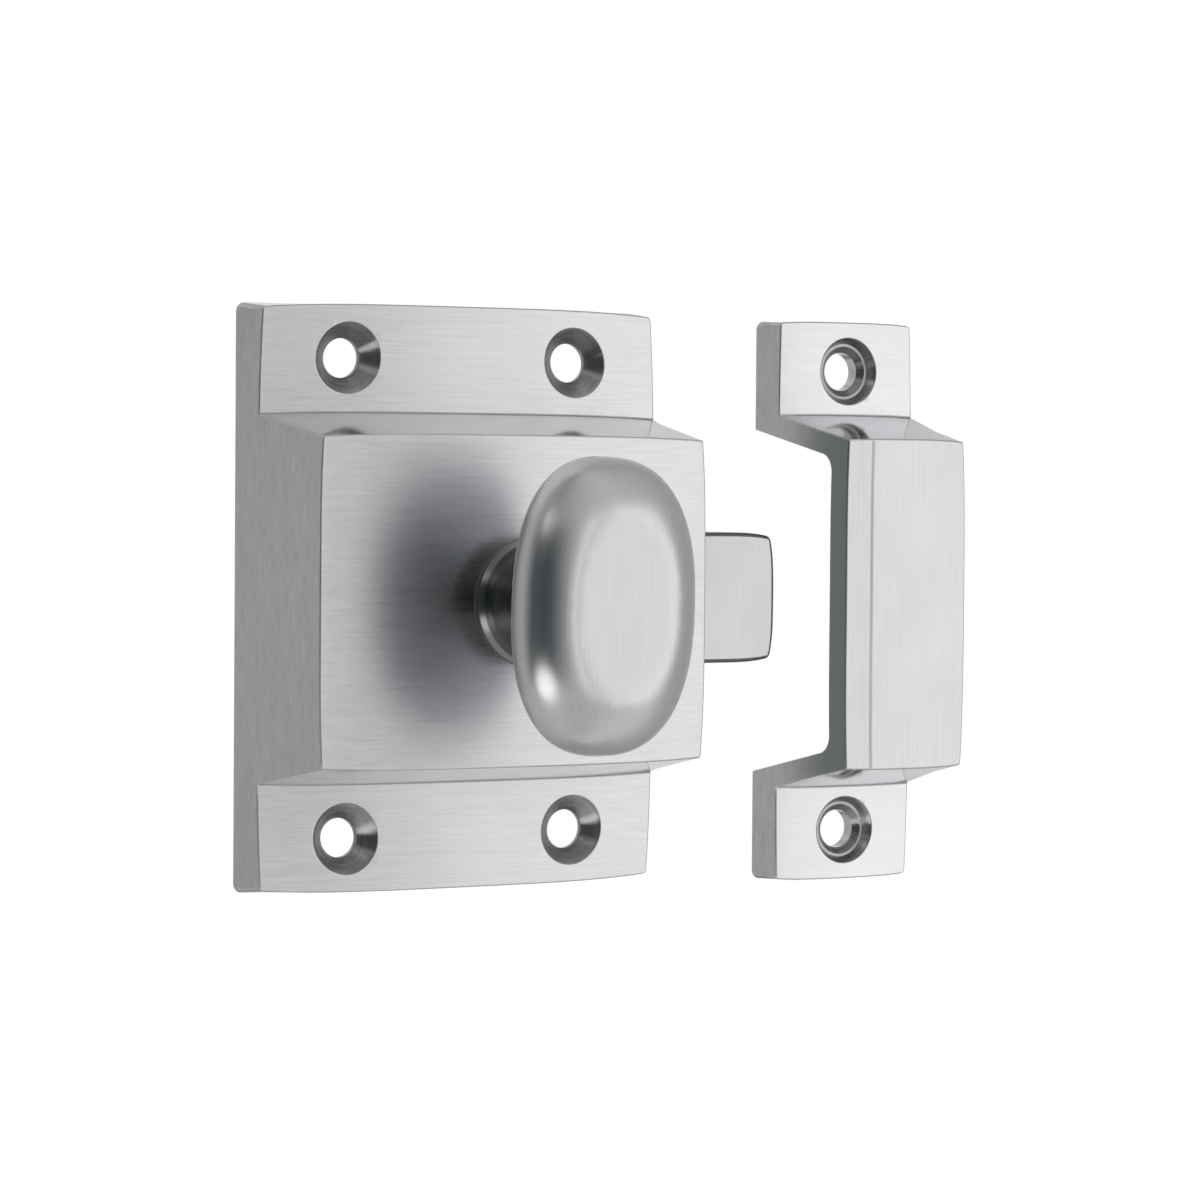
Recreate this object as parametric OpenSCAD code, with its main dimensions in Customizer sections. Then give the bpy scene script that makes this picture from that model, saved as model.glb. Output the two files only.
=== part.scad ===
// Cupboard catch latch: a cast case with an oval turn knob, a sprung bolt and a bridge-shaped keeper.
// X runs towards the keeper, Y into the door and Z up. The door's face is the plane Y = 0.

/* [Case] */
// Width of the case where it meets the door
case_w = 49.8; // [49:0.1:54]
// Height of the case over both screw flanges
case_h = 63.5; // [62:0.5:70]
// Depth of the case from the door to its front face
case_d = 18.5; // [17.5:0.1:20]
// Thickness of the screw flanges at their edges
flange_t = 5.3; // [4.8:0.1:6]
// Thickness of the web left under each flange by its hollow
flange_web_t = 2.4; // [2.2:0.1:3]
// Width of the rim around each hollow
rim_t = 2.4; // [1.5:0.1:3]
// Height of each screw flange, up to the raised box
flange_h = 11.65; // [11:0.05:12.5]
// Distance that the top and bottom of the box lean in
box_fall = 2.4; // [1:0.1:3]
// Thickness of the front wall that carries the knob
front_wall_t = 3; // [2.5:0.1:3.2]
// Thickness of the side walls at the front face
side_wall_t = 2.6; // [2:0.1:2.8]
// Thickness of the top and bottom walls at the front face
end_wall_t = 3.7; // [3.5:0.1:4.2]
// Radius on the corners of the case's outline
case_corner_r = 1; // [0.4:0.1:2]
// Lean of each side of the case for each unit of depth
side_draft_share = 0.08; // [0.04:0.01:0.1]

/* [Case screws] */
// Distance from each side of the case to its screw holes
hole_side_inset = 10.8; // [9:0.1:12]
// Distance from the case's top and bottom to its screw holes
hole_end_inset = 5.8; // [5:0.1:6.5]
// Diameter of the case's screw holes
hole_d = 4.3; // [3.5:0.1:4.6]
// Diameter of their countersinks at the face
sink_d = 7.8; // [7:0.1:8.2]

/* [Knob] */
// Width of the knob's oval head
head_w = 20.6; // [18:0.1:24]
// Height of the knob's oval head
head_h = 30.9; // [28:0.1:36]
// Rise of the head's dome over its widest line, before its front is ground flat
head_front_t = 6.4; // [5:0.1:8]
// Share of that rise at which the flat front lies
head_flat_share = 0.87; // [0.8:0.01:0.95]
// Depth of the back of the head behind its widest line
head_back_t = 2.6; // [2:0.1:4]
// Distance from the case's front face to the widest line of the head
head_reach = 17; // [15:0.1:20]
// Angle that the head leans at rest, in degrees
head_lean = 1.7; // [0:0.1:4]
// Diameter of the collar at the foot of the stem
collar_d = 14; // [13:0.1:16]
// Height of the collar in front of the case
collar_h = 3.4; // [3:0.1:4]
// Diameter of the stem at its waist
neck_d = 9.4; // [8.6:0.1:10]
// Diameter of the journal that turns in the case
journal_d = 7.2; // [6.8:0.1:7.4]
// Side of the square end that carries the cam
square_s = 4.6; // [4.2:0.1:4.8]

/* [Cam] */
// Width of the cam and of its round ends
cam_w = 7.2; // [7:0.1:7.3]
// Thickness of the cam
cam_t = 3; // [2.5:0.1:3.4]
// Turn of the knob that draws the bolt, in degrees
turn_angle = 60; // [50:1:60]
// Thickness of the washer between the case and the cam
spindle_washer_t = 0.6; // [0.4:0.1:0.8]
// Thickness of the washer under the cam's screw
cam_washer_t = 0.8; // [0.6:0.1:1]

/* [Bolt] */
// Height of the bolt's head
bolt_h = 14.5; // [12:0.1:16]
// Thickness of the bolt's head
bolt_t = 8; // [6:0.1:8.5]
// Depth of the bolt's front face behind the front of the case
bolt_inset = 5.5; // [5.3:0.1:6]
// Length of bolt that stands out of the case
bolt_reach = 11.6; // [9:0.1:13]
// Thickness of the bolt at the thin end of its ramp
bolt_nose_t = 2.2; // [1.5:0.1:3]
// Length of the ramp on the bolt's back
bolt_ramp_l = 8; // [5:0.1:8.5]
// Radius on the corners of the bolt's end
bolt_corner_r = 0.5; // [0.3:0.1:2]
// Thickness of the bolt frame's top and bottom bars
frame_bar_t = 2; // [1.6:0.1:2.2]
// Thickness of the frame's bar behind the spring
frame_tail_t = 4; // [3:0.1:4.5]
// Thickness of the frame's bar at the bolt's head
frame_head_t = 2.6; // [2:0.1:2.8]

/* [Spring] */
// Outer diameter of the bolt's spring
spring_d = 8; // [7:0.1:8.4]
// Diameter of the spring's wire
spring_wire_d = 0.9; // [0.6:0.05:0.95]
// Turns of the spring
spring_turns = 6; // [5:0.5:6.5]
// Length of the peg that guides the spring
peg_l = 3.5; // [2:0.1:4.5]
// Depth of the spring's seat in the case
seat_depth = 1; // [0.5:0.1:1.2]

/* [Back plate] */
// Thickness of the plate that closes the case
plate_t = 1.5; // [1:0.1:1.7]
// Width of the ledge that the plate rests on
ledge_w = 4.2; // [4:0.1:4.4]
// Diameter of the plate's screws
plate_screw_d = 2; // [1.6:0.1:2.2]
// Diameter of the heads of the plate's screws
plate_screw_head_d = 3.6; // [3:0.1:3.6]
// Length of the plate's screws
plate_screw_l = 5; // [4:0.1:6]
// Distance from each side of the plate to its screws
plate_screw_inset = 7.4; // [5:0.1:10]

/* [Keeper] */
// Width of the keeper where it meets the frame
keeper_w = 19.2; // [17:0.1:22]
// Height of the keeper over both feet
keeper_h = 64.2; // [62.5:0.1:70]
// Depth of the keeper from the frame to the front of its bridge
keeper_d = 17.1; // [16.9:0.1:18.5]
// Thickness of the keeper's feet
foot_t = 4.4; // [4:0.1:5]
// Depth of the relief under each foot
foot_relief = 0.9; // [0.5:0.1:1.2]
// Width of the rim around each relief
foot_rim = 2; // [1.5:0.1:2.5]
// Height of each foot, up to its leg
foot_h = 10.7; // [10:0.1:12]
// Distance that each leg leans in
leg_fall = 2.8; // [1:0.1:4]
// Thickness of the legs
leg_t = 1.8; // [1.5:0.1:2.5]
// Radius in the mouth's two inner corners
mouth_corner_r = 2.2; // [1:0.1:3]
// Thickness of the bridge
bridge_t = 3.5; // [3:0.1:3.6]
// Width of the bevelled lip along the bridge
lip_w = 3.1; // [2.5:0.1:6]
// Fall of the lip at the keeper's edge
lip_fall = 0.5; // [0.2:0.1:1]
// Radius on the corners of the keeper's outline
keeper_corner_r = 1; // [0.4:0.1:2]
// Lean of the keeper's near side for each unit of depth
keeper_near_draft_share = 0.107; // [0.05:0.001:0.12]
// Lean of the keeper's far side for each unit of depth
keeper_far_draft_share = 0.095; // [0.05:0.001:0.12]
// Distance from the case to the keeper, at the door
keeper_gap = 15.9; // [14:0.1:20]
// Distance that the keeper sits below the case's middle
keeper_drop = 0.8; // [0:0.1:2]
// Distance from the keeper's near edge to its screw holes
keeper_hole_inset = 9.9; // [9:0.1:10.5]
// Distance from the keeper's top and bottom to its screw holes
keeper_hole_end_inset = 5.65; // [5:0.05:6]
// Diameter of the keeper's screw holes
keeper_hole_d = 4.4; // [3.5:0.1:4.6]
// Diameter of their countersinks at the face
keeper_sink_d = 7.7; // [7:0.1:8]
// Depth of the steep wall at the mouth of each countersink
keeper_wall_depth = 1.1; // [0.8:0.1:1.3]
// Diameter of that wall at its foot
keeper_wall_d = 6.4; // [6.2:0.1:7]
// Diameter of the cone that seats the screw, inside a ledge at the foot of the wall
keeper_seat_d = 5.8; // [5.4:0.1:6.1]

/* [Hidden] */

// Clearances: running fits, loose sliding fits, and the play between lobe and bolt at its least
run_gap = 0.05;
slide_gap = 0.2;
cam_play = 0.12;
// Length that every cut runs past the face it opens
over = 1;
// Facets round a full turn of the round forms
round_fn = 64;
// Facets round the screws' heads and other small round forms
small_fn = 32;

// Levels in depth, all measured out from the door
face_y = -case_d;
cavity_y = -(case_d - front_wall_t);
bolt_front_y = -(case_d - bolt_inset);
bolt_back_y = bolt_front_y + bolt_t;
frame_front_y = cavity_y + slide_gap;
frame_back_y = -plate_t - slide_gap;
spring_y = (frame_front_y + frame_back_y) / 2;

// Half width of the case at a given level, and the box's height at both ends of its lean
function case_half_w(y) = case_w / 2 + side_draft_share * y;
box_root_h = case_h - 2 * flange_h;
box_front_h = box_root_h - 2 * box_fall;
hole_span_x = case_w - 2 * hole_side_inset;
hole_span_z = case_h - 2 * hole_end_inset;

// The walls set the cavity, the cavity the bolt's frame, and the frame's window the reach of the cam's lobes
cavity_half_w = case_half_w(face_y) - side_wall_t;
cavity_half_h = box_front_h / 2 - end_wall_t;
frame_half_h = cavity_half_h - slide_gap;
window_half_h = frame_half_h - frame_bar_t;
cam_reach = window_half_h - 2 * slide_gap - cam_w / 2;

// Travel that the turned lobe gives the bolt, shared evenly over the turn, and the gap that this needs
turn_rad = turn_angle * PI / 180;
travel = cam_reach * sin(turn_angle);
even_share = sin(turn_angle) / turn_rad;
widest_angle = acos(even_share);
rest_gap = cam_reach * (sin(widest_angle) - even_share * widest_angle * PI / 180) + cam_play;

// The bolt's frame across, from the far wall to the bar that the lobe pushes
frame_far_x = cavity_half_w - slide_gap;
window_far_x = frame_far_x - frame_head_t;
window_near_x = -(cam_w / 2 + rest_gap);
frame_near_x = window_near_x - frame_tail_t;
bolt_tip_x = case_half_w(bolt_front_y) + bolt_reach;

// The peg fits inside the spring, and the seat around it
peg_d = spring_d - 2 * spring_wire_d - 2 * slide_gap;
seat_d = spring_d + 2 * slide_gap;
seat_x = -cavity_half_w - seat_depth;
spring_sides = 8;
spring_steps = 20;

// The cam's pieces stacked from the front wall inwards
washer_recess = spindle_washer_t + run_gap;
cam_y = cavity_y + run_gap;
cam_washer_y = cam_y + cam_t;
cam_screw_y = cam_washer_y + cam_washer_t;
square_gap = 0.03;
spindle_washer_d = 11;
cam_hole_spare = 0.5;
cam_washer_d = 6.6;
cam_screw_d = 2.5;
cam_screw_head_d = 4.8;
cam_screw_head_t = 1.8;
cam_screw_l = 5;
slot_w = 0.6;
slot_depth = 0.5;

// Back plate, on a ledge round the cavity
plate_half_h = cavity_half_h + ledge_w;
plate_half_w = case_half_w(-plate_t) - rim_t + run_gap;
plate_corner_r = 1.5;
plate_screw_x = plate_half_w - plate_screw_inset;
plate_screw_z = cavity_half_h + ledge_w / 2;
plate_screw_gap = 0.02;
plate_hole_spare = 0.5;

// Hollow behind each flange, from the box's root to the rim
hollow_depth = flange_t - flange_web_t;
hollow_near_z = plate_half_h + rim_t;
hollow_far_z = case_h / 2 - rim_t;
hollow_corner_r = 2;

// Knob: the collar's relieved foot, its front chamfer and the waisted neck
foot_undercut = 1.3;
collar_lip = 1;
collar_chamfer = 1;
waist_share = 0.5;
neck_flare_share = 1.25;
neck_steps = 8;
head_sides = 72;
head_rings = 20;
// Depth over which the dome eases into its flat front
flat_ease = 0.12;
outline_power = 2.45;
front_power = 2.4;
back_power = 2.2;

// Keeper's levels, places and heights
keeper_x = case_w / 2 + keeper_gap;
bridge_back_y = -(keeper_d - bridge_t);
leg_root_h = keeper_h - 2 * foot_h;
leg_front_h = leg_root_h - 2 * leg_fall;
mouth_back_h = leg_root_h - 2 * leg_t;
mouth_front_h = leg_front_h - 2 * leg_t;
keeper_hole_span = keeper_h - 2 * keeper_hole_end_inset;

// Lays a flat shape of depth and height out along X, about the middle
module along_x(length) {
    rotate([90, 0, 90]) linear_extrude(length, center = true) children();
}

// Stands a flat shape of width and height out from the door, between two levels
module along_y(from_y, to_y) {
    translate([0, to_y, 0]) rotate([90, 0, 0]) linear_extrude(to_y - from_y) children();
}

// A round form about the knob's axis, from a flat shape of radius and distance from the door
module about_y() {
    rotate([90, 0, 0]) rotate_extrude($fn = round_fn) children();
}

module rounded_rect(half_w, half_h, r) {
    square([2 * half_w - 2 * r, 2 * half_h], center = true);
    square([2 * half_w, 2 * half_h - 2 * r], center = true);
    for (x = [-1, 1], z = [-1, 1])
        translate([x * (half_w - r), z * (half_h - r)]) circle(r, $fn = small_fn);
}

// A side view that is the same above and below the middle, from the upper half's points
module mirrored_profile(upper) {
    lower = [for (i = [len(upper) - 1 : -1 : 0]) [upper[i][0], -upper[i][1]]];
    polygon(concat(upper, lower));
}

// Straight hole with a right-angled countersink, open towards the viewer at face_level
module sunk_hole(face_level, through, d, head_d) {
    sink = (head_d - d) / 2;
    translate([0, face_level, 0]) rotate([-90, 0, 0]) {
        translate([0, 0, -over]) cylinder(through + 2 * over, d = d, $fn = round_fn);
        cylinder(sink, d1 = head_d, d2 = d, $fn = round_fn);
        translate([0, 0, -over]) cylinder(over, d = head_d, $fn = round_fn);
    }
}

// The same at the foot of a steep wall that narrows to a flat ledge
module walled_hole(face_level, through, d, seat_d, wall_d, head_d, wall_depth) {
    sunk_hole(face_level + wall_depth, through - wall_depth, d, seat_d);
    translate([0, face_level, 0]) rotate([-90, 0, 0]) {
        cylinder(wall_depth, d1 = head_d, d2 = wall_d, $fn = round_fn);
        translate([0, 0, -over]) cylinder(over, d = head_d, $fn = round_fn);
    }
}

// Outer form of the case: its side view run across, its plan run up and its front view run out
module case_solid() {
    intersection() {
        along_x(case_w) mirrored_profile([
            [0, case_h / 2],
            [-flange_t, case_h / 2],
            [-flange_t, box_root_h / 2],
            [face_y, box_front_h / 2]]);
        linear_extrude(case_h, center = true) polygon([
            [-case_w / 2, 0],
            [-case_half_w(face_y), face_y],
            [case_half_w(face_y), face_y],
            [case_w / 2, 0]]);
        along_y(face_y, 0) rounded_rect(case_w / 2, case_h / 2, case_corner_r);
    }
}

module case_hollows() {
    for (side = [-1, 1])
        translate([0, 0, side * (hollow_near_z + hollow_far_z) / 2])
            along_y(-hollow_depth, over) rounded_rect(
                case_half_w(-hollow_depth) - rim_t, (hollow_far_z - hollow_near_z) / 2, hollow_corner_r);
    along_y(cavity_y, over) square([2 * cavity_half_w, 2 * cavity_half_h], center = true);
    along_y(-plate_t, over) rounded_rect(
        plate_half_w + run_gap, plate_half_h + run_gap, plate_corner_r + run_gap);
}

module bolt_slot() {
    translate([cavity_half_w - over, bolt_front_y - slide_gap, -bolt_h / 2 - slide_gap])
        cube([case_w / 2 - cavity_half_w + 2 * over, bolt_t + 2 * slide_gap, bolt_h + 2 * slide_gap]);
}

module at_plate_screw(i) {
    across = (i % 2) * 2 - 1;
    up = floor(i / 2) * 2 - 1;
    translate([across * plate_screw_x, 0, up * plate_screw_z]) children();
}

module case() {
    color("silver") difference() {
        case_solid();
        case_hollows();
        bolt_slot();
        translate([0, face_y - over, 0]) rotate([-90, 0, 0])
            cylinder(front_wall_t + 2 * over, d = journal_d + 2 * run_gap, $fn = round_fn);
        translate([seat_x, spring_y, 0]) rotate([0, 90, 0])
            cylinder(seat_depth + over, d = seat_d, $fn = round_fn);
        translate([0, cavity_y + over, 0]) rotate([90, 0, 0])
            cylinder(washer_recess + over, d = spindle_washer_d + 2 * slide_gap, $fn = round_fn);
        for (x = [-1, 1], z = [-1, 1])
            translate([x * hole_span_x / 2, 0, z * hole_span_z / 2])
                sunk_hole(-flange_t, flange_t, hole_d, sink_d);
        for (i = [0:3])
            at_plate_screw(i) rotate([90, 0, 0])
                cylinder(plate_screw_l + plate_hole_spare, d = plate_screw_d + 2 * plate_screw_gap,
                    $fn = small_fn);
    }
}

module back_plate() {
    color("gainsboro") difference() {
        along_y(-plate_t + run_gap, 0) rounded_rect(plate_half_w, plate_half_h, plate_corner_r);
        for (i = [0:3])
            at_plate_screw(i) mirror([0, 1, 0])
                sunk_hole(0, plate_t, plate_screw_d + 2 * slide_gap, plate_screw_head_d);
    }
}

// Countersunk screw with a slotted head just below the plate's face, clear of its countersink all round
module back_screw(i) {
    head_d = plate_screw_head_d - 4 * plate_screw_gap;
    sink = (head_d - plate_screw_d) / 2;
    color("silver") at_plate_screw(i) difference() {
        rotate([90, 0, 0]) {
            translate([0, 0, plate_screw_gap])
                cylinder(sink, d1 = head_d, d2 = plate_screw_d, $fn = small_fn);
            translate([0, 0, sink]) cylinder(plate_screw_l - sink, d = plate_screw_d, $fn = small_fn);
        }
        translate([-plate_screw_head_d, -slot_depth, -slot_w / 2])
            cube([2 * plate_screw_head_d, slot_depth + over, slot_w]);
    }
}

// Points round one ring of the head, at a given share of its outline
function oval_ring(share, y) = [for (i = [0 : head_sides - 1])
    let (a = 360 * i / head_sides, c = cos(a), s = sin(a))
    [head_w / 2 * share * sign(c) * pow(abs(c), 2 / outline_power),
     y,
     head_h / 2 * share * sign(s) * pow(abs(s), 2 / outline_power)]];

// Share of the full outline at a given share of the way from the widest line to the pole
function swell(t, power) = pow(1 - pow(t, power), 1 / power);

// Rise of the dome's front at a given share of the way, eased into the flat
function front_rise(t) =
    let (flat_t = head_front_t * head_flat_share)
    flat_t - flat_ease * ln(1 + exp((flat_t - head_front_t * t) / flat_ease));

module knob_head() {
    widest_y = face_y - head_reach;
    back = [for (k = [head_rings - 1 : -1 : 1])
        let (t = sin(90 * k / head_rings)) oval_ring(swell(t, back_power), widest_y + head_back_t * t)];
    front = [for (k = [0 : head_rings - 1])
        let (t = sin(90 * k / head_rings)) oval_ring(swell(t, front_power), widest_y - front_rise(t))];
    rings = concat(back, front);
    points = concat(
        [[0, widest_y + head_back_t, 0]],
        [for (ring = rings) each ring],
        [[0, widest_y - front_rise(1), 0]]);
    last = len(points) - 1;
    top_start = 1 + head_sides * (len(rings) - 1);
    faces = concat(
        [for (i = [0 : head_sides - 1]) [0, 1 + i, 1 + (i + 1) % head_sides]],
        [for (k = [0 : len(rings) - 2], i = [0 : head_sides - 1])
            let (a = 1 + k * head_sides + i, b = 1 + k * head_sides + (i + 1) % head_sides)
            [a, a + head_sides, b + head_sides, b]],
        [for (i = [0 : head_sides - 1]) [last, top_start + (i + 1) % head_sides, top_start + i]]);
    rotate([0, head_lean, 0]) polyhedron(points, faces, convexity = 4);
}

// Stem turned with the collar: relieved foot, lip, chamfer and a waist that flares into the head
module knob_stem() {
    foot_r = collar_d / 2 - foot_undercut;
    foot_y = case_d + run_gap;
    collar_y = case_d + collar_h;
    neck_y = collar_y + collar_chamfer;
    neck_r = collar_d / 2 - collar_chamfer;
    head_y = case_d + head_reach - head_back_t / 2;
    waist_y = neck_y + (head_y - neck_y) * waist_share;
    waist_r = neck_d / 2;
    top_r = waist_r * neck_flare_share;
    about_y() polygon(concat(
        [[0, foot_y],
         [foot_r, foot_y],
         [foot_r, collar_y - collar_lip - foot_undercut],
         [collar_d / 2, collar_y - collar_lip],
         [collar_d / 2, collar_y]],
        [for (i = [0 : neck_steps]) let (t = i / neck_steps)
            [waist_r + (neck_r - waist_r) * pow(1 - t, 2), neck_y + (waist_y - neck_y) * t]],
        [for (i = [1 : neck_steps]) let (t = i / neck_steps)
            [waist_r + (top_r - waist_r) * pow(t, 2), waist_y + (head_y - waist_y) * t]],
        [[0, head_y]]));
}

module knob() {
    color("silver") difference() {
        union() {
            knob_head();
            knob_stem();
            translate([0, cam_y, 0]) rotate([90, 0, 0])
                cylinder(case_d + collar_h / 2 + cam_y, d = journal_d, $fn = round_fn);
            translate([-square_s / 2, cam_y - over, -square_s / 2]) cube([square_s, cam_t + over, square_s]);
        }
        translate([0, cam_washer_y + over, 0]) rotate([90, 0, 0])
            cylinder(cam_screw_l + cam_hole_spare + over, d = cam_screw_d + 2 * plate_screw_gap,
                $fn = small_fn);
    }
}

module ring(from_y, thickness, outer_d, inner_d) {
    along_y(from_y, from_y + thickness) difference() {
        circle(d = outer_d, $fn = round_fn);
        circle(d = inner_d, $fn = round_fn);
    }
}

module spindle_washer() {
    color("goldenrod")
        ring(cavity_y - spindle_washer_t, spindle_washer_t, spindle_washer_d, journal_d + 2 * slide_gap);
}

// Two round lobes on one bar, pushed on to the knob's square end
module cam() {
    color("goldenrod") along_y(cam_y, cam_y + cam_t) difference() {
        union() {
            square([cam_w, 2 * cam_reach], center = true);
            for (z = [-1, 1]) translate([0, z * cam_reach]) circle(d = cam_w, $fn = round_fn);
        }
        square(square_s + 2 * square_gap, center = true);
    }
}

module cam_washer() {
    color("silver") ring(cam_washer_y, cam_washer_t, cam_washer_d, cam_screw_d + 2 * slide_gap);
}

module cam_screw() {
    color("silver") translate([0, cam_screw_y, 0]) difference() {
        rotate([90, 0, 0]) {
            translate([0, 0, -cam_screw_head_t])
                cylinder(cam_screw_head_t, d = cam_screw_head_d, $fn = small_fn);
            cylinder(cam_screw_l, d = cam_screw_d, $fn = small_fn);
        }
        translate([-cam_screw_head_d, cam_screw_head_t - slot_depth, -slot_w / 2])
            cube([2 * cam_screw_head_d, slot_depth + over, slot_w]);
    }
}

// Open frame that the cam turns inside, seen from the front
module frame_outline() {
    difference() {
        translate([(frame_near_x + frame_far_x) / 2, 0])
            rounded_rect((frame_far_x - frame_near_x) / 2, frame_half_h, bolt_corner_r);
        translate([window_near_x, -window_half_h]) square([window_far_x - window_near_x, 2 * window_half_h]);
    }
}

// Head of the bolt: rounded corners from the front, and a ramp on the back for closing
module bolt_head() {
    intersection() {
        along_y(bolt_front_y, bolt_back_y) translate([(window_far_x + bolt_tip_x) / 2, 0])
            rounded_rect((bolt_tip_x - window_far_x) / 2, bolt_h / 2, bolt_corner_r);
        linear_extrude(bolt_h, center = true) polygon([
            [window_far_x, bolt_front_y],
            [bolt_tip_x, bolt_front_y],
            [bolt_tip_x, bolt_front_y + bolt_nose_t],
            [bolt_tip_x - bolt_ramp_l, bolt_back_y],
            [window_far_x, bolt_back_y]]);
    }
}

module bolt() {
    color("silver") {
        along_y(frame_front_y, frame_back_y) frame_outline();
        bolt_head();
        translate([frame_near_x + frame_tail_t / 2, spring_y, 0]) rotate([0, -90, 0])
            cylinder(peg_l + frame_tail_t / 2, d = peg_d, $fn = small_fn);
    }
}

// Points round the wire at one place along the coil
function wire_ring(x, turn_a, coil_r) = [for (j = [0 : spring_sides - 1])
    let (b = 360 * j / spring_sides, r = coil_r + spring_wire_d / 2 * cos(b))
    [x + spring_wire_d / 2 * sin(b), spring_y + r * cos(turn_a), r * sin(turn_a)]];

module bolt_spring() {
    coil_r = (spring_d - spring_wire_d) / 2;
    from_x = seat_x + run_gap + spring_wire_d / 2;
    to_x = frame_near_x - run_gap - spring_wire_d / 2;
    steps = spring_turns * spring_steps;
    rings = [for (i = [0 : steps])
        wire_ring(from_x + (to_x - from_x) * i / steps, 360 * i / spring_steps, coil_r)];
    points = [for (ring = rings) each ring];
    faces = concat(
        [[for (j = [spring_sides - 1 : -1 : 0]) j]],
        [for (i = [0 : steps - 1], j = [0 : spring_sides - 1])
            let (a = i * spring_sides + j, b = i * spring_sides + (j + 1) % spring_sides)
            [a, b, b + spring_sides, a + spring_sides]],
        [[for (j = [0 : spring_sides - 1]) steps * spring_sides + j]]);
    color("dimgray") polyhedron(points, faces, convexity = 10);
}

// Side view of the mouth: sloping legs, with round corners where they meet the bridge
module mouth_profile() {
    slope = (mouth_back_h - mouth_front_h) / 2 / -bridge_back_y;
    lean = sqrt(1 + slope * slope);
    corner_y = bridge_back_y + mouth_corner_r;
    corner_z = mouth_back_h / 2 + slope * corner_y - mouth_corner_r * lean;
    mirrored_profile([
        [over, mouth_back_h / 2 + slope * over],
        [corner_y - mouth_corner_r * slope / lean, corner_z + mouth_corner_r / lean],
        [bridge_back_y, corner_z]]);
    for (side = [-1, 1]) translate([corner_y, side * corner_z]) circle(mouth_corner_r, $fn = round_fn);
}

// Outer form of the keeper, made as the case is, with a bevelled lip along the near edge of its bridge
module keeper_solid() {
    lip_y = -(keeper_d - lip_fall);
    intersection() {
        translate([keeper_w / 2, 0, 0]) along_x(keeper_w) mirrored_profile([
            [0, keeper_h / 2],
            [-foot_t, keeper_h / 2],
            [-foot_t, leg_root_h / 2],
            [-keeper_d, leg_front_h / 2]]);
        linear_extrude(keeper_h, center = true) polygon([
            [0, 0],
            [-keeper_near_draft_share * lip_y, lip_y],
            [-keeper_near_draft_share * lip_y + lip_w, -keeper_d],
            [keeper_w - keeper_far_draft_share * keeper_d, -keeper_d],
            [keeper_w, 0]]);
        translate([keeper_w / 2, 0, 0]) along_y(-keeper_d, 0)
            rounded_rect(keeper_w / 2, keeper_h / 2, keeper_corner_r);
    }
}

module keeper() {
    relief_from = mouth_back_h / 2 + foot_rim;
    relief_to = keeper_h / 2 - foot_rim;
    color("silver") translate([keeper_x, 0, -keeper_drop]) difference() {
        keeper_solid();
        translate([keeper_w / 2, 0, 0]) along_x(keeper_w + 2 * over) mouth_profile();
        for (side = [-1, 1]) {
            translate([keeper_w / 2, 0, side * (relief_from + relief_to) / 2])
                along_y(-foot_relief, over)
                    rounded_rect(keeper_w / 2 - foot_rim, (relief_to - relief_from) / 2, keeper_corner_r);
            translate([keeper_hole_inset, 0, side * keeper_hole_span / 2])
                walled_hole(-foot_t, foot_t, keeper_hole_d, keeper_seat_d, keeper_wall_d,
                    keeper_sink_d, keeper_wall_depth);
        }
    }
}

case();
back_plate();
for (i = [0:3]) back_screw(i);
knob();
spindle_washer();
cam();
cam_washer();
cam_screw();
bolt();
bolt_spring();
keeper();
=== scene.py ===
"""Looks of the cupboard catch latch: satin-chromed castings with softened edges, under soft studio light."""

import math

import bmesh
import bpy
from mathutils import Matrix, Vector


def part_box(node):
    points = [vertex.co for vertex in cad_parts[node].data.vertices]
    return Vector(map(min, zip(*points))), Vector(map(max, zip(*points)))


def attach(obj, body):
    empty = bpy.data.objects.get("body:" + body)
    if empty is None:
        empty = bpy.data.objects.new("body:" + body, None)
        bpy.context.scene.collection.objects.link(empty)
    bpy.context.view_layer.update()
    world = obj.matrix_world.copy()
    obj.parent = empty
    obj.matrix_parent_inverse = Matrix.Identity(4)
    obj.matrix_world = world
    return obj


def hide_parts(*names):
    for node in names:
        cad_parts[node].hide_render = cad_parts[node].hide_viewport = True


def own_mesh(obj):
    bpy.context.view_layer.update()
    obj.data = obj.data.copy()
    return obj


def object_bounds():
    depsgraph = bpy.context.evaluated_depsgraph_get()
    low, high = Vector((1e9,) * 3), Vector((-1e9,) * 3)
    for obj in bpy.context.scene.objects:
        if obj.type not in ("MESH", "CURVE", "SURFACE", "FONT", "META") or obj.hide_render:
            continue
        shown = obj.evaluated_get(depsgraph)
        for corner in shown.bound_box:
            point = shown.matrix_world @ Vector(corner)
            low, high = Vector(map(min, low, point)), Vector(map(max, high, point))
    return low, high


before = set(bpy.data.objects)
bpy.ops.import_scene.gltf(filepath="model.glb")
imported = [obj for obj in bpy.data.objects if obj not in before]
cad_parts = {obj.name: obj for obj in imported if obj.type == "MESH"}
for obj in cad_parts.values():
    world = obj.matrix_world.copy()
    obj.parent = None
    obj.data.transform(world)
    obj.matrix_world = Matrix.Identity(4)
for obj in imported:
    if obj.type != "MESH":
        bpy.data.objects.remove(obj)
cad_low, cad_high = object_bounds()

MM = 0.001
X_AXIS, Y_AXIS, Z_AXIS = 0, 1, 2

# Camera, from the photograph's own view: angles in degrees and lengths in millimetres
VIEW_AZIMUTH = -29.871
VIEW_ELEVATION = 1.709
VIEW_ROLL = 0.438
VIEW_DISTANCE = 465.85
LOOK_AT = (17.466, -5.0, -0.4)
NEAR_CLIP = 10.0
SENSOR = 36.0
PHOTO_SIZE = 1200
FOCAL_PIXELS = 4183.74


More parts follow.
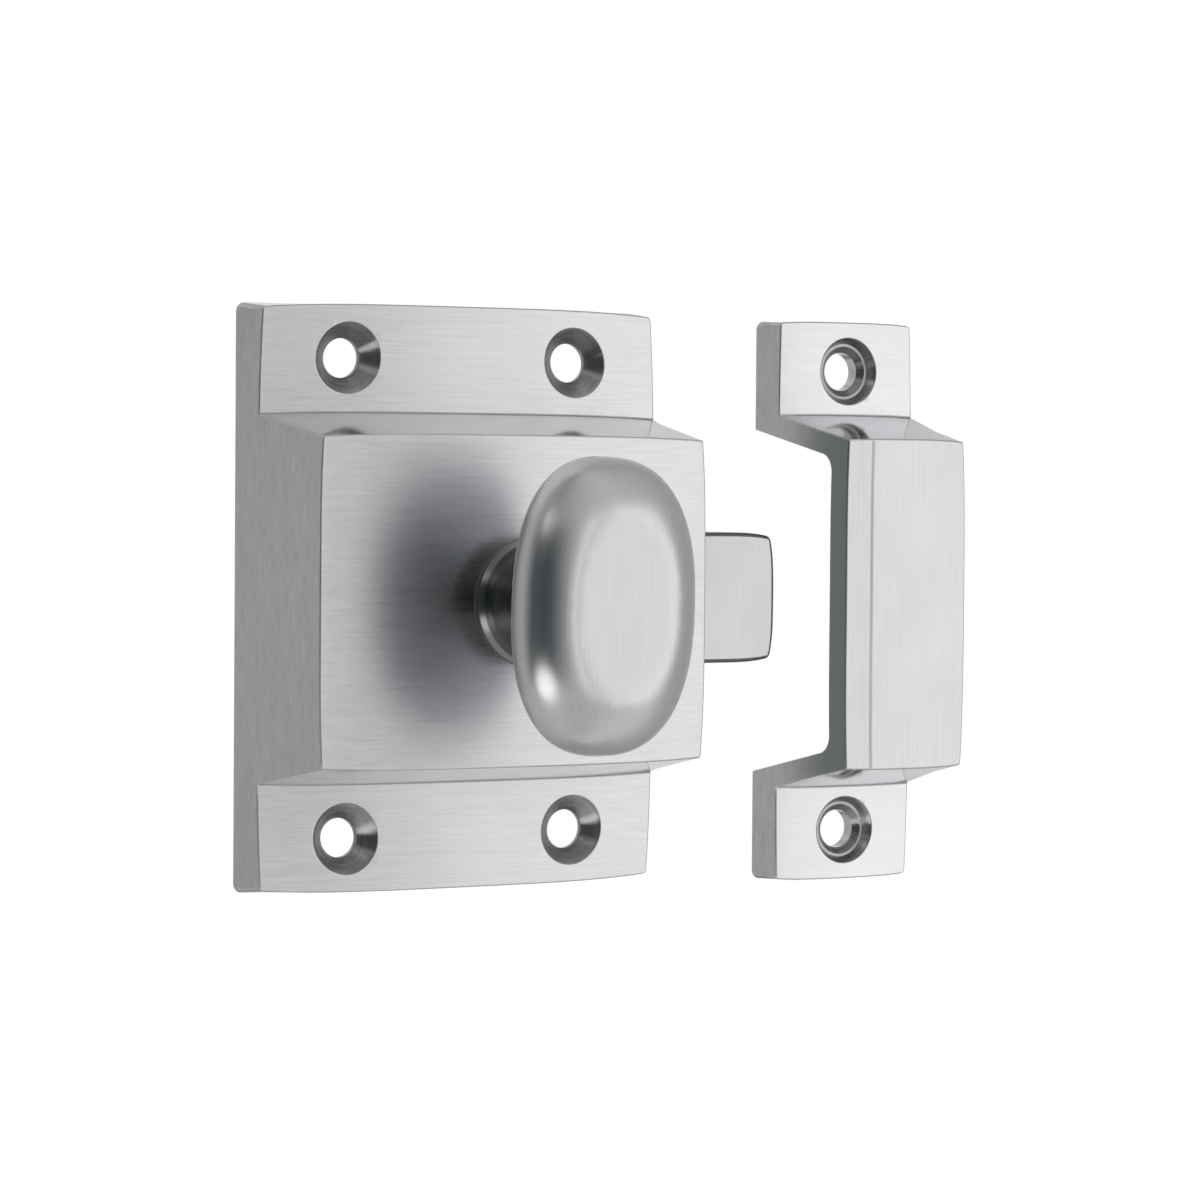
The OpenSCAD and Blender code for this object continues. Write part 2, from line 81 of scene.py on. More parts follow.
def direction(azimuth, elevation):
    """Unit vector from the object out to a place on the studio's sphere; azimuth 0 is straight in front."""
    around, upward = math.radians(azimuth), math.radians(elevation)
    level = math.cos(upward)
    return Vector((math.sin(around) * level, -math.cos(around) * level, math.sin(upward)))


def make_camera():
    """The camera that sees the object as the photograph does."""
    back = direction(VIEW_AZIMUTH, VIEW_ELEVATION)
    forward = -back
    right = forward.cross(Vector((0, 0, 1))).normalized()
    up = right.cross(forward)
    roll = math.radians(VIEW_ROLL)
    x_axis = right * math.cos(roll) + up * math.sin(roll)
    y_axis = up * math.cos(roll) - right * math.sin(roll)
    data = bpy.data.cameras.new("camera")
    data.sensor_width = SENSOR
    data.lens = SENSOR * FOCAL_PIXELS / PHOTO_SIZE
    data.clip_start = NEAR_CLIP * MM
    camera = bpy.data.objects.new("camera", data)
    bpy.context.scene.collection.objects.link(camera)
    place = Vector(LOOK_AT) * MM + back * VIEW_DISTANCE * MM
    turn = Matrix((x_axis, y_axis, back)).transposed().to_4x4()
    camera.matrix_world = Matrix.Translation(place) @ turn
    bpy.context.scene.camera = camera


class Nodes:
    """Short hand for building a node tree. A value that is a socket is linked, and any other is set."""

    def __init__(self, tree):
        self.tree = tree
        tree.nodes.clear()

    def add(self, kind, inputs=(), **settings):
        node = self.tree.nodes.new(kind)
        for name, value in settings.items():
            setattr(node, name, value)
        for name, value in dict(inputs).items():
            self.put(node.inputs[name], value)
        return node

    def put(self, socket, value):
        if isinstance(value, bpy.types.NodeSocket):
            self.tree.links.new(value, socket)
        else:
            socket.default_value = value

    def math(self, operation, a, b=0.0):
        node = self.add("ShaderNodeMath", {0: a, 1: b}, operation=operation)
        return node.outputs[0]

    def mix(self, factor, a, b, **settings):
        """Mixes two colours, whose sockets are the seventh and eighth of the node."""
        node = self.add("ShaderNodeMix", {0: factor, 6: a, 7: b}, data_type="RGBA", **settings)
        return node.outputs[2]

    def map(self, value, from_min, from_max, to_min=0.0, to_max=1.0, smooth=False):
        node = self.add(
            "ShaderNodeMapRange",
            {"Value": value, "From Min": from_min, "From Max": from_max, "To Min": to_min, "To Max": to_max},
            interpolation_type="SMOOTHSTEP" if smooth else "LINEAR",
        )
        return node.outputs[0]

    def ramp(self, value, stops):
        """Grey levels placed along a value from 0 to 1."""
        node = self.add("ShaderNodeValToRGB", {"Fac": value})
        elements = node.color_ramp.elements
        while len(elements) < len(stops):
            elements.new(0.5)
        for element, (place, level) in zip(elements, stops):
            element.position = place
            element.color = grey(level)
        return node.outputs["Color"]


def opaque(colour):
    return tuple(colour) + (1.0,)


def grey(level):
    return opaque((level, level, level))


# Studio: how bright it is round the horizon, higher up and lower down, at each azimuth (0 is straight in front)
BAND_LEVELS = (
    (-180, 0.80), (-165, 0.66), (-150, 0.36), (-135, 0.41), (-120, 0.46), (-108, 0.28), (-95, 0.09), (-48, 0.06),
    (-32, 0.19), (-16, 0.40), (-3, 0.60), (8, 0.95), (15, 0.93), (20, 0.49), (24, 0.57), (28, 1.08), (38, 1.15),
    (46, 0.98), (54, 0.74), (62, 0.54), (70, 0.45), (78, 0.42), (105, 0.40), (120, 0.45), (140, 0.64),
    (165, 0.94), (180, 0.84),
)
UPPER_LEVELS = (
    (-180, 0.60), (-130, 0.58), (-105, 0.35), (-60, 0.28), (-20, 0.45), (30, 0.60), (60, 0.48), (100, 0.40),
    (150, 0.50), (180, 0.60),
)
LOWER_LEVELS = (
    (-180, 0.42), (-130, 0.50), (-60, 0.56), (0, 0.50), (25, 0.56), (45, 0.74), (75, 0.46), (130, 0.36), (180, 0.33),
)
# Elevations between which the band round the horizon fades into what is below and above it
BAND_BOTTOM = (-32, -18)
BAND_TOP = (18, 36)
# Tint of the dark side, and the levels between which it fades out
DARK_TINT = (0.86, 1.0, 1.06)
TINTED_LEVELS = (0.05, 0.3)
# Level of the light that matt surfaces get
FILL_LEVEL = 0.45
# Bright windows on the dark side, in degrees, each fading beyond its oval edge over a share of its size
WINDOWS = (
    dict(azimuth=-66, elevation=-29, half_width=15, half_height=6, fade_share=1.3, level=1.45),
    dict(azimuth=-70, elevation=33, half_width=8, half_height=3, fade_share=2.5, level=0.60),
)
WINDOW_TINT = (1.0, 0.99, 0.96)


def round_turn(levels):
    """A table of levels by azimuth as places along one full turn."""
    return [((azimuth + 180) / 360, level) for azimuth, level in levels]


def add_window(nodes, azimuth, elevation, studio, window):
    """Lays a window, an oval bright patch with a soft edge, over the studio's colour."""
    across = nodes.math("DIVIDE", nodes.math("SUBTRACT", azimuth, window["azimuth"]), window["half_width"])
    upward = nodes.math("DIVIDE", nodes.math("SUBTRACT", elevation, window["elevation"]), window["half_height"])
    reach = nodes.math("SQRT", nodes.math("ADD", nodes.math("POWER", across, 2.0), nodes.math("POWER", upward, 2.0)))
    outside = nodes.map(reach, 1.0, 1.0 + window["fade_share"], smooth=True)
    light = opaque(window["level"] * part for part in WINDOW_TINT)
    return nodes.mix(outside, light, studio)


def studio_colour(nodes):
    """What the studio looks like in every direction: the band, what is below and above it, and the windows."""
    outward = nodes.add("ShaderNodeTexCoord").outputs["Generated"]
    part = nodes.add("ShaderNodeSeparateXYZ", {"Vector": outward})
    azimuth = nodes.math("ARCTAN2", part.outputs["X"], nodes.math("MULTIPLY", part.outputs["Y"], -1.0))
    elevation = nodes.math("DEGREES", nodes.math("ARCSINE", part.outputs["Z"]))
    turn = nodes.map(azimuth, -math.pi, math.pi)
    band = nodes.ramp(turn, round_turn(BAND_LEVELS))
    upper = nodes.ramp(turn, round_turn(UPPER_LEVELS))
    lower = nodes.ramp(turn, round_turn(LOWER_LEVELS))
    dark_band = nodes.mix(1.0, band, opaque(DARK_TINT), blend_type="MULTIPLY")
    tinted = nodes.mix(nodes.map(band, *TINTED_LEVELS), dark_band, band)
    high = nodes.mix(nodes.map(elevation, *BAND_TOP, smooth=True), tinted, upper)
    colour = nodes.mix(nodes.map(elevation, *BAND_BOTTOM, smooth=True), lower, high)
    for window in WINDOWS:
        colour = add_window(nodes, nodes.math("DEGREES", azimuth), elevation, colour, window)
    return colour


def make_world():
    """White for the camera; for reflections a bright tent with a dark side where the photographer stands."""
    world = bpy.data.worlds.new("studio")
    bpy.context.scene.world = world
    world.use_nodes = True
    nodes = Nodes(world.node_tree)
    path = nodes.add("ShaderNodeLightPath")
    lit = nodes.mix(path.outputs["Is Diffuse Ray"], studio_colour(nodes), grey(FILL_LEVEL))
    colour = nodes.mix(path.outputs["Is Camera Ray"], lit, grey(1.0))
    background = nodes.add("ShaderNodeBackground", {"Color": colour, "Strength": 1.0})
    nodes.add("ShaderNodeOutputWorld", {"Surface": background.outputs[0]})


# Soft box at the left: its direction in degrees, its distance and side in metres, and how bright its surface is
SOFTBOX_AZIMUTH = -78
SOFTBOX_ELEVATION = 34
SOFTBOX_DISTANCE = 0.8
SOFTBOX_SIDE = 0.16
SOFTBOX_RADIANCE = 0.35


def make_softbox():
    """A square lamp that faces the object."""
    data = bpy.data.lights.new("side_softbox", "AREA")
    data.shape = "SQUARE"
    data.size = SOFTBOX_SIDE
    data.energy = SOFTBOX_RADIANCE * math.pi * SOFTBOX_SIDE * SOFTBOX_SIDE
    lamp = bpy.data.objects.new("side_softbox", data)
    bpy.context.scene.collection.objects.link(lamp)
    out = direction(SOFTBOX_AZIMUTH, SOFTBOX_ELEVATION)
    lamp.location = out * SOFTBOX_DISTANCE
    lamp.rotation_mode = "QUATERNION"
    lamp.rotation_quaternion = out.to_track_quat("Z", "Y")


# Floor: side in metres, gap under the object, grey, and how much of a white glow the camera sees instead
FLOOR_SIDE = 3.0
FLOOR_DROP = 0.15 * MM
FLOOR_GREY = 0.8
FLOOR_GLOW_SHARE = 0.86
FLOOR_GLOW = 1.12


def make_floor():
    """A pale floor just under the object, which keeps only a faint shadow for the camera."""
    bpy.ops.mesh.primitive_plane_add(size=FLOOR_SIDE, location=(0, 0, cad_low.z - FLOOR_DROP))
    floor = bpy.context.object
    floor.name = "floor"
    material = bpy.data.materials.new("pale_floor")
    material.use_nodes = True
    nodes = Nodes(material.node_tree)
    path = nodes.add("ShaderNodeLightPath")
    matt = nodes.add("ShaderNodeBsdfDiffuse", {"Color": grey(FLOOR_GREY)}).outputs[0]
    glow = nodes.add("ShaderNodeEmission", {"Color": grey(1.0), "Strength": FLOOR_GLOW}).outputs[0]
    clear = nodes.add("ShaderNodeBsdfTransparent").outputs[0]
    share = nodes.math("MULTIPLY", path.outputs["Is Camera Ray"], FLOOR_GLOW_SHARE)
    seen = nodes.add("ShaderNodeMixShader", {0: share, 1: matt, 2: glow}).outputs[0]
    surface = nodes.add("ShaderNodeMixShader", {0: path.outputs["Is Glossy Ray"], 1: seen, 2: clear}).outputs[0]
    nodes.add("ShaderNodeOutputMaterial", {"Surface": surface})
    floor.data.materials.append(material)


# Marks on metal: how often they vary in a metre along a stroke, across it, from ring to ring, and in even grain
ALONG = 120.0
ACROSS = 5200.0
RINGS = 3600.0
GRAIN = 2600.0
EVEN_GRAIN = (GRAIN, GRAIN, GRAIN)
CAST_GRAIN = (1800.0, 1800.0, 450.0)
# The noise behind them, turned off the grid that would show as stripes
OFF_GRID = (0.6, 0.4, 0.9)
MARK_DETAIL = 5.0
MARK_ROUGHNESS = 0.68
NOISE_RANGE = (0.3, 0.7)
# Broad marks: their rates as a share of the fine ones', and their weight beside them
BROAD_SHARE = 0.3
BROAD_WEIGHT = 0.25
# Clouds of wear, and how far wear makes the metal smoother and rougher
CLOUD_RATE = 110.0
CLOUD_DETAIL = 3.0
CLOUD_WEIGHT = 0.5
SMOOTHER = 0.04
ROUGHER = 0.05
BUMP_STRENGTH = 0.2
BUMP_DEPTH = 0.008 * MM
CHROME = (0.77, 0.767, 0.785)


def marks(nodes, place, rates, share=1.0):
    """Noise that varies at a share of the given rates along X, Y and Z, but at the rate along a stroke at least."""
    scale = tuple(max(ALONG, rate * share) for rate in rates)
    mapped = nodes.add("ShaderNodeMapping", {"Vector": place, "Scale": scale, "Rotation": OFF_GRID}).outputs[0]
    noise = nodes.add(
        "ShaderNodeTexNoise", {"Vector": mapped, "Scale": 1.0, "Detail": MARK_DETAIL, "Roughness": MARK_ROUGHNESS}
    )
    return noise.outputs["Fac"]


def blend(nodes, a, b, weight):
    """Sum of two values, with the given weight on the second and the rest on the first."""
    return nodes.math("ADD", nodes.math("MULTIPLY", a, 1 - weight), nodes.math("MULTIPLY", b, weight))


def with_painted_shade(nodes, place, colour, painted_shade):
    """A colour darkened by painted shade, which sets in between the depths in Y where it starts and where it is full.
    """
    depth = nodes.add("ShaderNodeSeparateXYZ", {"Vector": place}).outputs["Y"]
    share = nodes.map(depth, painted_shade["start"] * MM, painted_shade["full"] * MM, smooth=True)
    return nodes.mix(share, colour, opaque(painted_shade["colour"]))


def object_axis(nodes, axis):
    """Direction of one of the object's axes in the world."""
    unit = nodes.add("ShaderNodeCombineXYZ", {"XYZ"[axis]: 1.0}).outputs[0]
    turned = nodes.add(
        "ShaderNodeVectorTransform", {"Vector": unit},
        vector_type="VECTOR", convert_from="OBJECT", convert_to="WORLD",
    )
    return turned.outputs[0]


def metal(name, rates, spread_axis=None, base=CHROME, rough=0.26, grain=0.05, anisotropic=0.0, painted_shade=None):
    """Worked metal with marks at the given rates, whose highlights spread along one axis of the object."""
    material = bpy.data.materials.new(name)
    material.use_nodes = True
    nodes = Nodes(material.node_tree)
    place = nodes.add("ShaderNodeTexCoord").outputs["Object"]
    fine = marks(nodes, place, rates)
    mark = blend(nodes, fine, marks(nodes, place, rates, BROAD_SHARE), BROAD_WEIGHT)
    light = opaque(min(1.0, part * (1 + grain)) for part in base)
    dark = opaque(part * (1 - 2 * grain) for part in base)
    colour = nodes.mix(nodes.map(mark, *NOISE_RANGE), dark, light)
    # Painted shade: the colour darkens by depth where shade falls in corners and mouths
    if painted_shade:
        colour = with_painted_shade(nodes, place, colour, painted_shade)
    cloud = nodes.add("ShaderNodeTexNoise", {"Vector": place, "Scale": CLOUD_RATE, "Detail": CLOUD_DETAIL})
    wear = blend(nodes, mark, cloud.outputs["Fac"], CLOUD_WEIGHT)
    roughness = nodes.map(wear, *NOISE_RANGE, rough - SMOOTHER, rough + ROUGHER)
    bump = nodes.add("ShaderNodeBump", {"Height": fine, "Strength": BUMP_STRENGTH, "Distance": BUMP_DEPTH})
    shader = nodes.add(
        "ShaderNodeBsdfPrincipled",
        {"Base Color": colour, "Metallic": 1.0, "Roughness": roughness,
         "Anisotropic": anisotropic, "Normal": bump.outputs[0]},
    )
    if spread_axis is not None:
        nodes.put(shader.inputs["Tangent"], object_axis(nodes, spread_axis))
    nodes.add("ShaderNodeOutputMaterial", {"Surface": shader.outputs[0]})
    return material


# Strokes along X or along Z, and rings round Y, with the axis that highlights spread along
STROKES_X = dict(rates=(ALONG, ACROSS, ACROSS), spread_axis=Z_AXIS)
STROKES_Z = dict(rates=(ACROSS, ACROSS, ALONG), spread_axis=X_AXIS)
TURNED = dict(rates=(ALONG, RINGS, ALONG), spread_axis=Y_AXIS)
# Painted shade darkens the shoulders towards the flanges, in the inner corner, and the keeper's mouth towards the
# viewer, beside the case
SHOULDER_PAINTED_SHADE = dict(colour=(0.52, 0.53, 0.54), start=-9.0, full=-5.2)
MOUTH_PAINTED_SHADE = dict(colour=(0.36, 0.385, 0.385), start=-3.5, full=-13.5)
CHROME_LOOKS = {
    "brushed_along": dict(**STROKES_X, rough=0.29, grain=0.07, anisotropic=0.7),
    "light_along": dict(**STROKES_X, base=(0.84, 0.835, 0.86), rough=0.27, anisotropic=0.6),
    "light_up": dict(**STROKES_Z, base=(0.755, 0.752, 0.775), rough=0.25, anisotropic=0.4),
    # Keeper's lip: a lighter copy of the chrome, painted light on the strip that turns to the left
    "lip": dict(**STROKES_Z, base=(0.88, 0.877, 0.90), rough=0.25, anisotropic=0.4),
    # Keeper's ridge: a darker copy of the chrome, a painted line of shade along the crease
    "ridge": dict(**STROKES_Z, base=(0.56, 0.56, 0.575), rough=0.25, anisotropic=0.4),
    "polished": dict(**STROKES_Z, base=(0.73, 0.73, 0.745), rough=0.25, grain=0.04, anisotropic=0.4),
    "bolt": dict(**STROKES_Z, base=(0.72, 0.717, 0.74), rough=0.27, anisotropic=0.6),
    # Screw holes: a darker copy of the chrome, painted shade in the recesses
    "sunk": dict(**TURNED, base=(0.48, 0.48, 0.485), rough=0.26, grain=0.2, anisotropic=0.7),
    # Stem: a near-black copy of the chrome, painted shade between the head and the case; its chamfer gets less painted
    # shade, so its edge shows as a bright arc
    "turned": dict(**TURNED, base=(0.12, 0.125, 0.125), rough=0.27, grain=0.1),
    "rim": dict(rates=TURNED["rates"], base=(0.30, 0.305, 0.31), rough=0.2, grain=0.1),
    # Shoulders: painted shade darkens them towards the flanges, in the inner corner
    "shoulder": dict(rates=STROKES_X["rates"], base=(0.61, 0.61, 0.625), rough=0.1, grain=0.04,
                     painted_shade=SHOULDER_PAINTED_SHADE),
    "cast": dict(rates=CAST_GRAIN, base=(0.74, 0.75, 0.745), rough=0.42, grain=0.08),
    # Keeper's side facing the case: painted shade darkens it towards the viewer
    "cast_mouth": dict(rates=CAST_GRAIN, base=(0.79, 0.80, 0.795), rough=0.42, grain=0.08, painted_shade=MOUTH_PAINTED_SHADE),
    # Knob's back: a darker, bluish copy of the chrome, painted shade on the side turned from the light
    "dark": dict(rates=EVEN_GRAIN, base=(0.47, 0.50, 0.53), rough=0.36, grain=0.04),
    # Bolt's rounded edges: a near-black copy of the chrome, a painted dark line of shade
    "edge": dict(rates=EVEN_GRAIN, base=(0.17, 0.175, 0.18), rough=0.3, grain=0.04),
}
FINISHES = {name: metal("chrome_" + name, **look) for name, look in CHROME_LOOKS.items()}
SLOT_METALS = {
    "plated_steel": metal("plated_steel", **STROKES_X, base=(0.66, 0.67, 0.68), rough=0.32, anisotropic=0.4),
    "brass": metal("brass", **STROKES_X, base=(0.78, 0.62, 0.34), rough=0.3, anisotropic=0.4),
    "spring_steel": metal("spring_steel", EVEN_GRAIN, base=(0.42, 0.42, 0.43), rough=0.25),
}

# Zones that the shaping goes by, each as its lowest and highest corner in millimetres
FAR = 100.0
CAVITY = ((-21.5, -15.9, -14.5), (21.5, 1.0, 14.5))
BEHIND = ((-FAR, -3.5, -FAR), (FAR, 10.0, FAR))
BOLT_SLOT = ((20.0, -13.6, -8.0), (26.0, -4.4, 8.0))
BOLT_FRAME = ((-30.0, -20.0, -20.0), (21.0, 10.0, 20.0))
HEAD = ((-20.0, -50.0, -20.0), (20.0, -31.0, 20.0))
LIP = ((40.0, -18.0, -21.0), (47.0, -15.5, 20.0))
# Screw holes in millimetres: their distances to the sides and ends of their plate, and how far their rims reach
CASE_HOLE_INSETS = (10.8, 5.8)
KEEPER_HOLE_INSETS = (9.9, 5.65)
HOLE_REACH = 4.1


def inside(point, zones):
    """Whether a point lies in any of the zones."""
    return any(all(low[i] * MM < point[i] < high[i] * MM for i in range(3)) for low, high in zones)


def hole_places(node, insets, columns):
    """Middles in X and Z of the screw holes at the ends of a plate, in one column or two."""
    low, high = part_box(node)
    side, end = (inset * MM for inset in insets)
    across = (low[0] + side, high[0] - side)[:columns]
    return [(x, z) for x in across for z in (low[2] + end, high[2] - end)]


def hole_zones(holes):
    """Zones round screw holes, through the whole depth."""
    return [
        ((x / MM - HOLE_REACH, -FAR, z / MM - HOLE_REACH), (x / MM + HOLE_REACH, FAR, z / MM + HOLE_REACH))
        for x, z in holes
    ]


CASE_HOLES = hole_places("case", CASE_HOLE_INSETS, 2)
KEEPER_HOLES = hole_places("keeper", KEEPER_HOLE_INSETS, 1)

# Rounding: how far faces that count as one may turn, and from what turn an edge is rounded or kept crisp
FLAT_TURN = math.radians(0.6)
CREASE = math.radians(28)
RIDGE_CREASE = math.radians(8)
SMOOTH_LIMIT = math.radians(40)
# Widths of rounded edges, and the number of faces across them
CASTING_EDGE = 0.2 * MM
BOLT_EDGE = 0.45 * MM
KNOB_EDGE = 0.15 * MM
FINE_EDGE = 0.09 * MM
EDGE_SEGMENTS = 3
FINE_SEGMENTS = 2
WELD = 0.001 * MM


def middle_of(edge):
    return (edge.verts[0].co + edge.verts[1].co) / 2


def round_edges(bm, edges, width, segments):
    """Rounds edges without holding back where they crowd."""
    bmesh.ops.bevel(
        bm, geom=edges, offset=width, segments=segments, profile=0.5, affect="EDGES", clamp_overlap=False, material=-1
    )


def creases(bm, left_alone, ridges):
    """Edges to round: all clear creases, and fainter ones in the ridge zones."""
    bm.normal_update()
    found = []
    for edge in bm.edges:
        angle = edge.calc_face_angle(0)
        place = middle_of(edge)
        clear = angle > CREASE or (angle > RIDGE_CREASE and inside(place, ridges))
        if clear and len(edge.link_faces) == 2 and not inside(place, left_alone):
            found.append(edge)
    return found


def soften(bm, width, sharp=(), fine=(), ridges=()):
    """Joins a mesh's flat faces and rounds its edges, narrowly in the fine zones and not at all in the sharp ones."""
    bmesh.ops.dissolve_limit(bm, angle_limit=FLAT_TURN, verts=bm.verts, edges=bm.edges)
    fine_edges = [edge for edge in creases(bm, sharp, ()) if inside(middle_of(edge), fine)]
    round_edges(bm, fine_edges, FINE_EDGE, FINE_SEGMENTS)
    round_edges(bm, creases(bm, (*sharp, *fine), ridges), width, EDGE_SEGMENTS)


# Hand polishing of each casting's blocks, back to front, in millimetres: the level of a block's back, half the width
# and height of its front face, how far its sides (crown) and its ends fall back, and how far its corners draw in
CASE_BLOCKS = (
    dict(back=0.0, half=(24.5, 31.75), crown=0.5, ends=0.1, corners=0.55),
    dict(back=-5.4, half=(23.4, 17.7), crown=0.65, ends=0.15, corners=0.35),
)
KEEPER_BLOCKS = (
    dict(back=0.0, half=(9.6, 32.1), crown=0.15, ends=0.2, corners=0.3),
    dict(back=-4.5, half=(8.2, 18.6), crown=0.05, ends=0.1, corners=0.3),
)
BOLT_BLOCKS = (
    dict(back=0.0, half=(7.8, 7.25), crown=0.1, ends=0.1, corners=0.5),
)
BOLT_MIDDLE = (27.8, 0.0)
# Depth over which a block takes over from the one behind it, and spacing of the cuts that let faces bend
FADE = 4.0
CASTING_STEP = 3.0 * MM
BOLT_STEP = 1.5 * MM


def slice_up(bm, step):
    """Cuts a mesh by planes across X and Z, so that its flat faces can be bent."""
    for axis in (X_AXIS, Z_AXIS):
        places = [vertex.co[axis] for vertex in bm.verts]
        low, high = min(places), max(places)
        count = max(2, round((high - low) / step))
        normal = Vector([1 if i == axis else 0 for i in range(3)])
        for k in range(1, count):
            place = normal * (low + (high - low) * k / count)
            bmesh.ops.bisect_plane(bm, geom=bm.verts[:] + bm.edges[:] + bm.faces[:], plane_co=place, plane_no=normal)


def roll_off(x, z, block):
    """How far polishing has moved a point of a block's front face, in millimetres."""
    u, w = x / block["half"][0], z / block["half"][1]
    crown, ends, corners = block["crown"], block["ends"], block["corners"]
    return Vector((-corners * u * w**4, crown * u * u + ends * w * w, -corners * w * u**4))


def pillow(bm, middle, blocks, left_alone=()):
    """Rolls a casting's blocks off towards their edges, each growing out of the one behind it."""
    for vertex in bm.verts:
        if inside(vertex.co, left_alone):
            continue
        x, y, z = vertex.co / MM
        moved = Vector()
        for block in blocks:
            depth = min(1.0, max(0.0, (block["back"] - y) / FADE))
            moved = moved.lerp(roll_off(x - middle[0], z - middle[1], block), depth)
        vertex.co += moved * MM


def middle_of_node(node):
    """Middle of a node in X and Z, in millimetres."""
    low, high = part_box(node)
    return (low[0] + high[0]) / 2 / MM, (low[2] + high[2]) / 2 / MM


def shape_case(bm):
    soften(bm, CASTING_EDGE, sharp=[CAVITY, BEHIND], fine=hole_zones(CASE_HOLES) + [BOLT_SLOT])
    slice_up(bm, CASTING_STEP)
    pillow(bm, middle_of_node("case"), CASE_BLOCKS, left_alone=[CAVITY])


def shape_keeper(bm):
    soften(bm, CASTING_EDGE, sharp=[BEHIND], fine=hole_zones(KEEPER_HOLES), ridges=[LIP])
    slice_up(bm, CASTING_STEP)
    pillow(bm, middle_of_node("keeper"), KEEPER_BLOCKS)


def shape_bolt(bm):
    soften(bm, BOLT_EDGE, sharp=[BOLT_FRAME])
    slice_up(bm, BOLT_STEP)
    pillow(bm, BOLT_MIDDLE, BOLT_BLOCKS, left_alone=[BOLT_FRAME])


def shape_knob(bm):
    soften(bm, KNOB_EDGE, sharp=[HEAD])


# Slopes, as parts of a face's normal: facing one way squarely, or more that way than any other
FLAT = 0.97
STEEP = 0.7
# Screw holes: how far their flat seats and their sunk walls reach, and where the plate's back begins
SEAT_REACH = 3.4 * MM
SUNK_REACH = 4.05 * MM
HOLE_BACK_Y = -2.0 * MM
# Keeper: front of its bridge, and how far the rounded ridge and the lip beyond it lean
BRIDGE_Y = -15.0 * MM
RIDGE_SLOPE = 0.03
LIP_SLOPE = 0.15
BOLT_EDGE_SLOPE = 0.1
# Knob: the stem's radius, the head's back and the hollow inside it, and the chamfer of the collar
STEM_RADIUS = 7.3 * MM
HEAD_BACK_Y = -31.0 * MM
HEAD_INNER_Y = -34.3 * MM
HEAD_BACK_SLOPE = 0.4
HEAD_SEAT_SLOPE = 0.8
CHAMFER_FRONT_Y = -22.50 * MM
CHAMFER_BACK_Y = -21.80 * MM


def in_hole(face, holes):
    """Whether a face belongs to a screw hole: sloping within the countersink's rim, or flat and close to its middle."""
    if face.normal.y > FLAT or face.calc_center_median().y > HOLE_BACK_Y:
        return False
    reach = SEAT_REACH if face.normal.y < -FLAT else SUNK_REACH
    return any(all(math.hypot(v.co.x - x, v.co.z - z) < reach for v in face.verts) for x, z in holes)


def case_finish(face):
    if in_hole(face, CASE_HOLES):
        return "sunk"
    if abs(face.normal.z) > STEEP:
        return "shoulder"
    return "cast" if abs(face.normal.x) > STEEP else "brushed_along"


def keeper_finish(face):
    if in_hole(face, KEEPER_HOLES):
        return "sunk"
    if abs(face.normal.z) > STEEP:
        return "shoulder"
    if abs(face.normal.x) > STEEP:
        # The keeper's side facing the case gets painted shade
        return "cast_mouth" if face.normal.x < 0 else "cast"
    if face.calc_center_median().y > BRIDGE_Y:
        return "light_along"
    # The lip is painted lighter, as painted light
    if -face.normal.x > LIP_SLOPE:
        return "lip"
    # The ridge gets a painted line of shade
    return "ridge" if -face.normal.x > RIDGE_SLOPE else "light_up"


def knob_finish(face):
    place = face.calc_center_median()
    # Head faces turned back, and the head's seat round the stem, get painted shade
    if place.y < HEAD_INNER_Y or math.hypot(place.x, place.z) > STEM_RADIUS:
        return "dark" if face.normal.y > HEAD_BACK_SLOPE else "polished"
    if place.y < HEAD_BACK_Y and face.normal.y > HEAD_SEAT_SLOPE:
        return "dark"
    # The stem gets painted shade, less of it on the collar's chamfer
    return "rim" if CHAMFER_FRONT_Y < place.y < CHAMFER_BACK_Y else "turned"


def bolt_finish(face):
    if face.normal.y < -FLAT:
        return "bolt"
    # The bolt's rounded edges are painted as dark lines of shade
    return "edge" if face.normal.y < -BOLT_EDGE_SLOPE else "brushed_along"


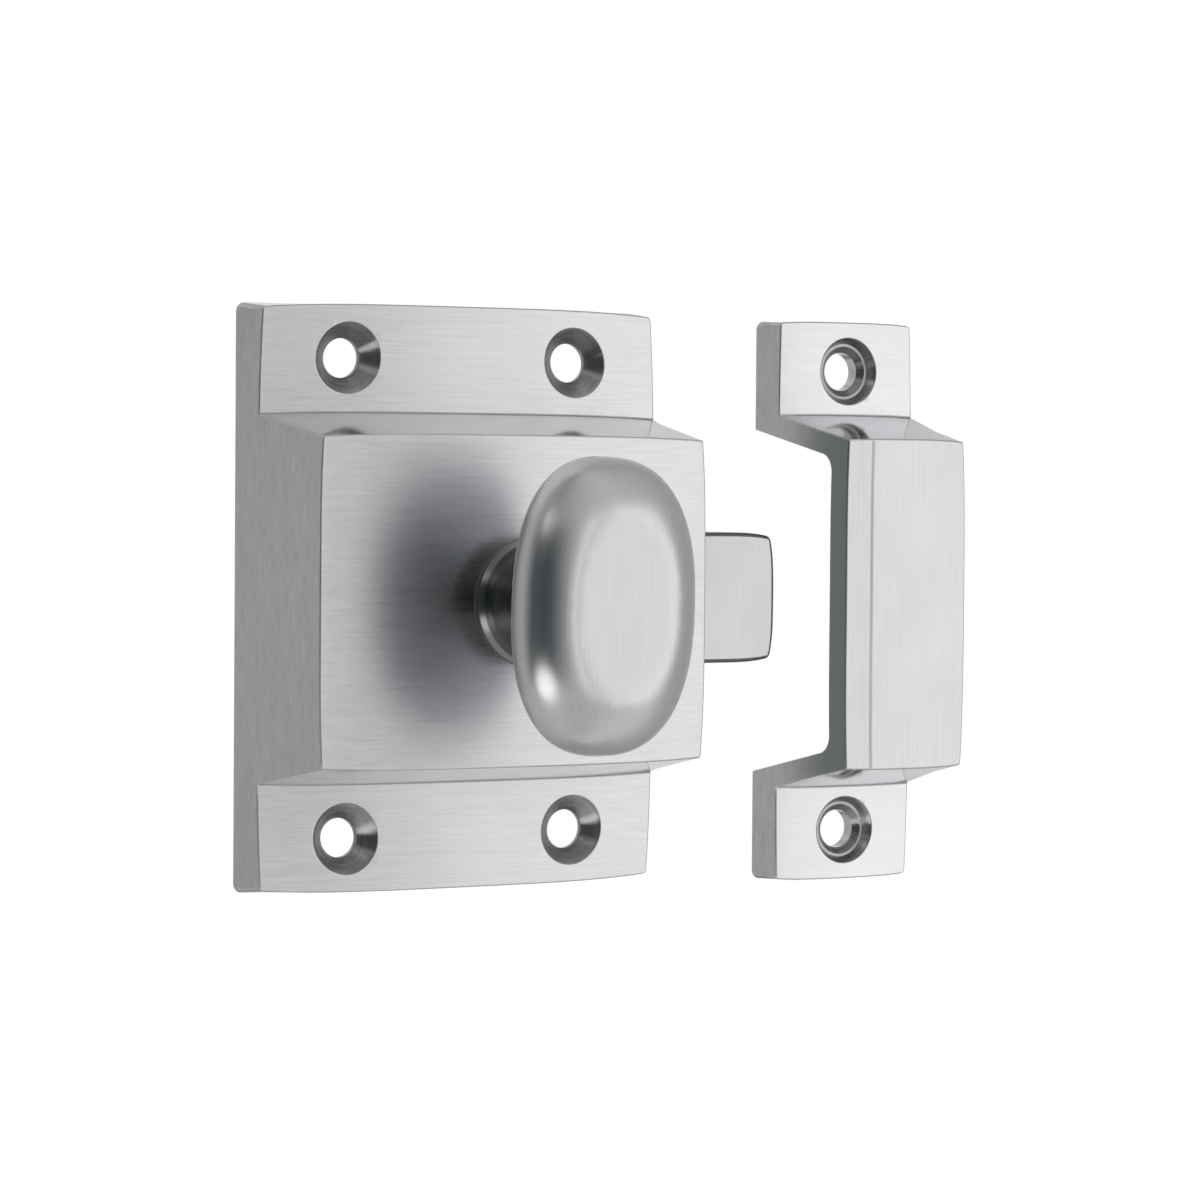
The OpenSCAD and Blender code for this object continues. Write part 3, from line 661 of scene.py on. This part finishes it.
def paint(bm, mesh, choose):
    """Gives each face the finish that choose names for it."""
    names = [choose(face) for face in bm.faces]
    order = sorted(set(names))
    for face, name in zip(bm.faces, names):
        face.material_index = order.index(name)
    for name in order:
        mesh.materials.append(FINISHES[name])


def shade(bm):
    """Shades a mesh smoothly, up to its crisp edges."""
    bm.normal_update()
    for face in bm.faces:
        face.smooth = True
    for edge in bm.edges:
        edge.smooth = edge.calc_face_angle(0) < SMOOTH_LIMIT


def skin(node, body):
    """An object with a bare copy of a CAD node's mesh, which stands for it."""
    piece = bpy.data.objects.new(node + "_finished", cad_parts[node].data.copy())
    bpy.context.scene.collection.objects.link(piece)
    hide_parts(node)
    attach(piece, body)
    piece.data.materials.clear()
    return piece


def dress(node, body, shape, choose):
    """Puts a chromed skin on a CAD node, with its edges and faces shaped and a finish on each face."""
    piece = skin(node, body)
    bm = bmesh.new()
    bm.from_mesh(piece.data)
    bmesh.ops.remove_doubles(bm, verts=bm.verts, dist=WELD)
    shape(bm)
    shade(bm)
    paint(bm, piece.data, choose)
    bm.to_mesh(piece.data)
    bm.free()
    weighted = piece.modifiers.new("even_shading", "WEIGHTED_NORMAL")
    weighted.keep_sharp = True


def plain(node, slot):
    """Gives a CAD node, as it is, the metal of its slot."""
    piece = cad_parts[node]
    piece.data.materials.clear()
    piece.data.materials.append(SLOT_METALS[slot])


def dress_spring():
    """The spring, as its own copy of the CAD node's mesh, in spring steel."""
    spring = skin("bolt_spring", "root")
    spring.data.materials.append(SLOT_METALS["spring_steel"])
    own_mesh(spring)


make_camera()
make_world()
make_floor()
make_softbox()
bpy.context.scene.view_settings.view_transform = "Standard"

dress("case", "root", shape_case, case_finish)
dress("keeper", "root", shape_keeper, keeper_finish)
dress("bolt", "sliding_bolt", shape_bolt, bolt_finish)
dress("knob", "turning_knob", shape_knob, knob_finish)
dress_spring()
for node in ("spindle_washer", "cam"):
    plain(node, "brass")
for node in ("back_plate", "cam_washer", "cam_screw", "back_screw_1", "back_screw_2", "back_screw_3", "back_screw_4"):
    plain(node, "plated_steel")
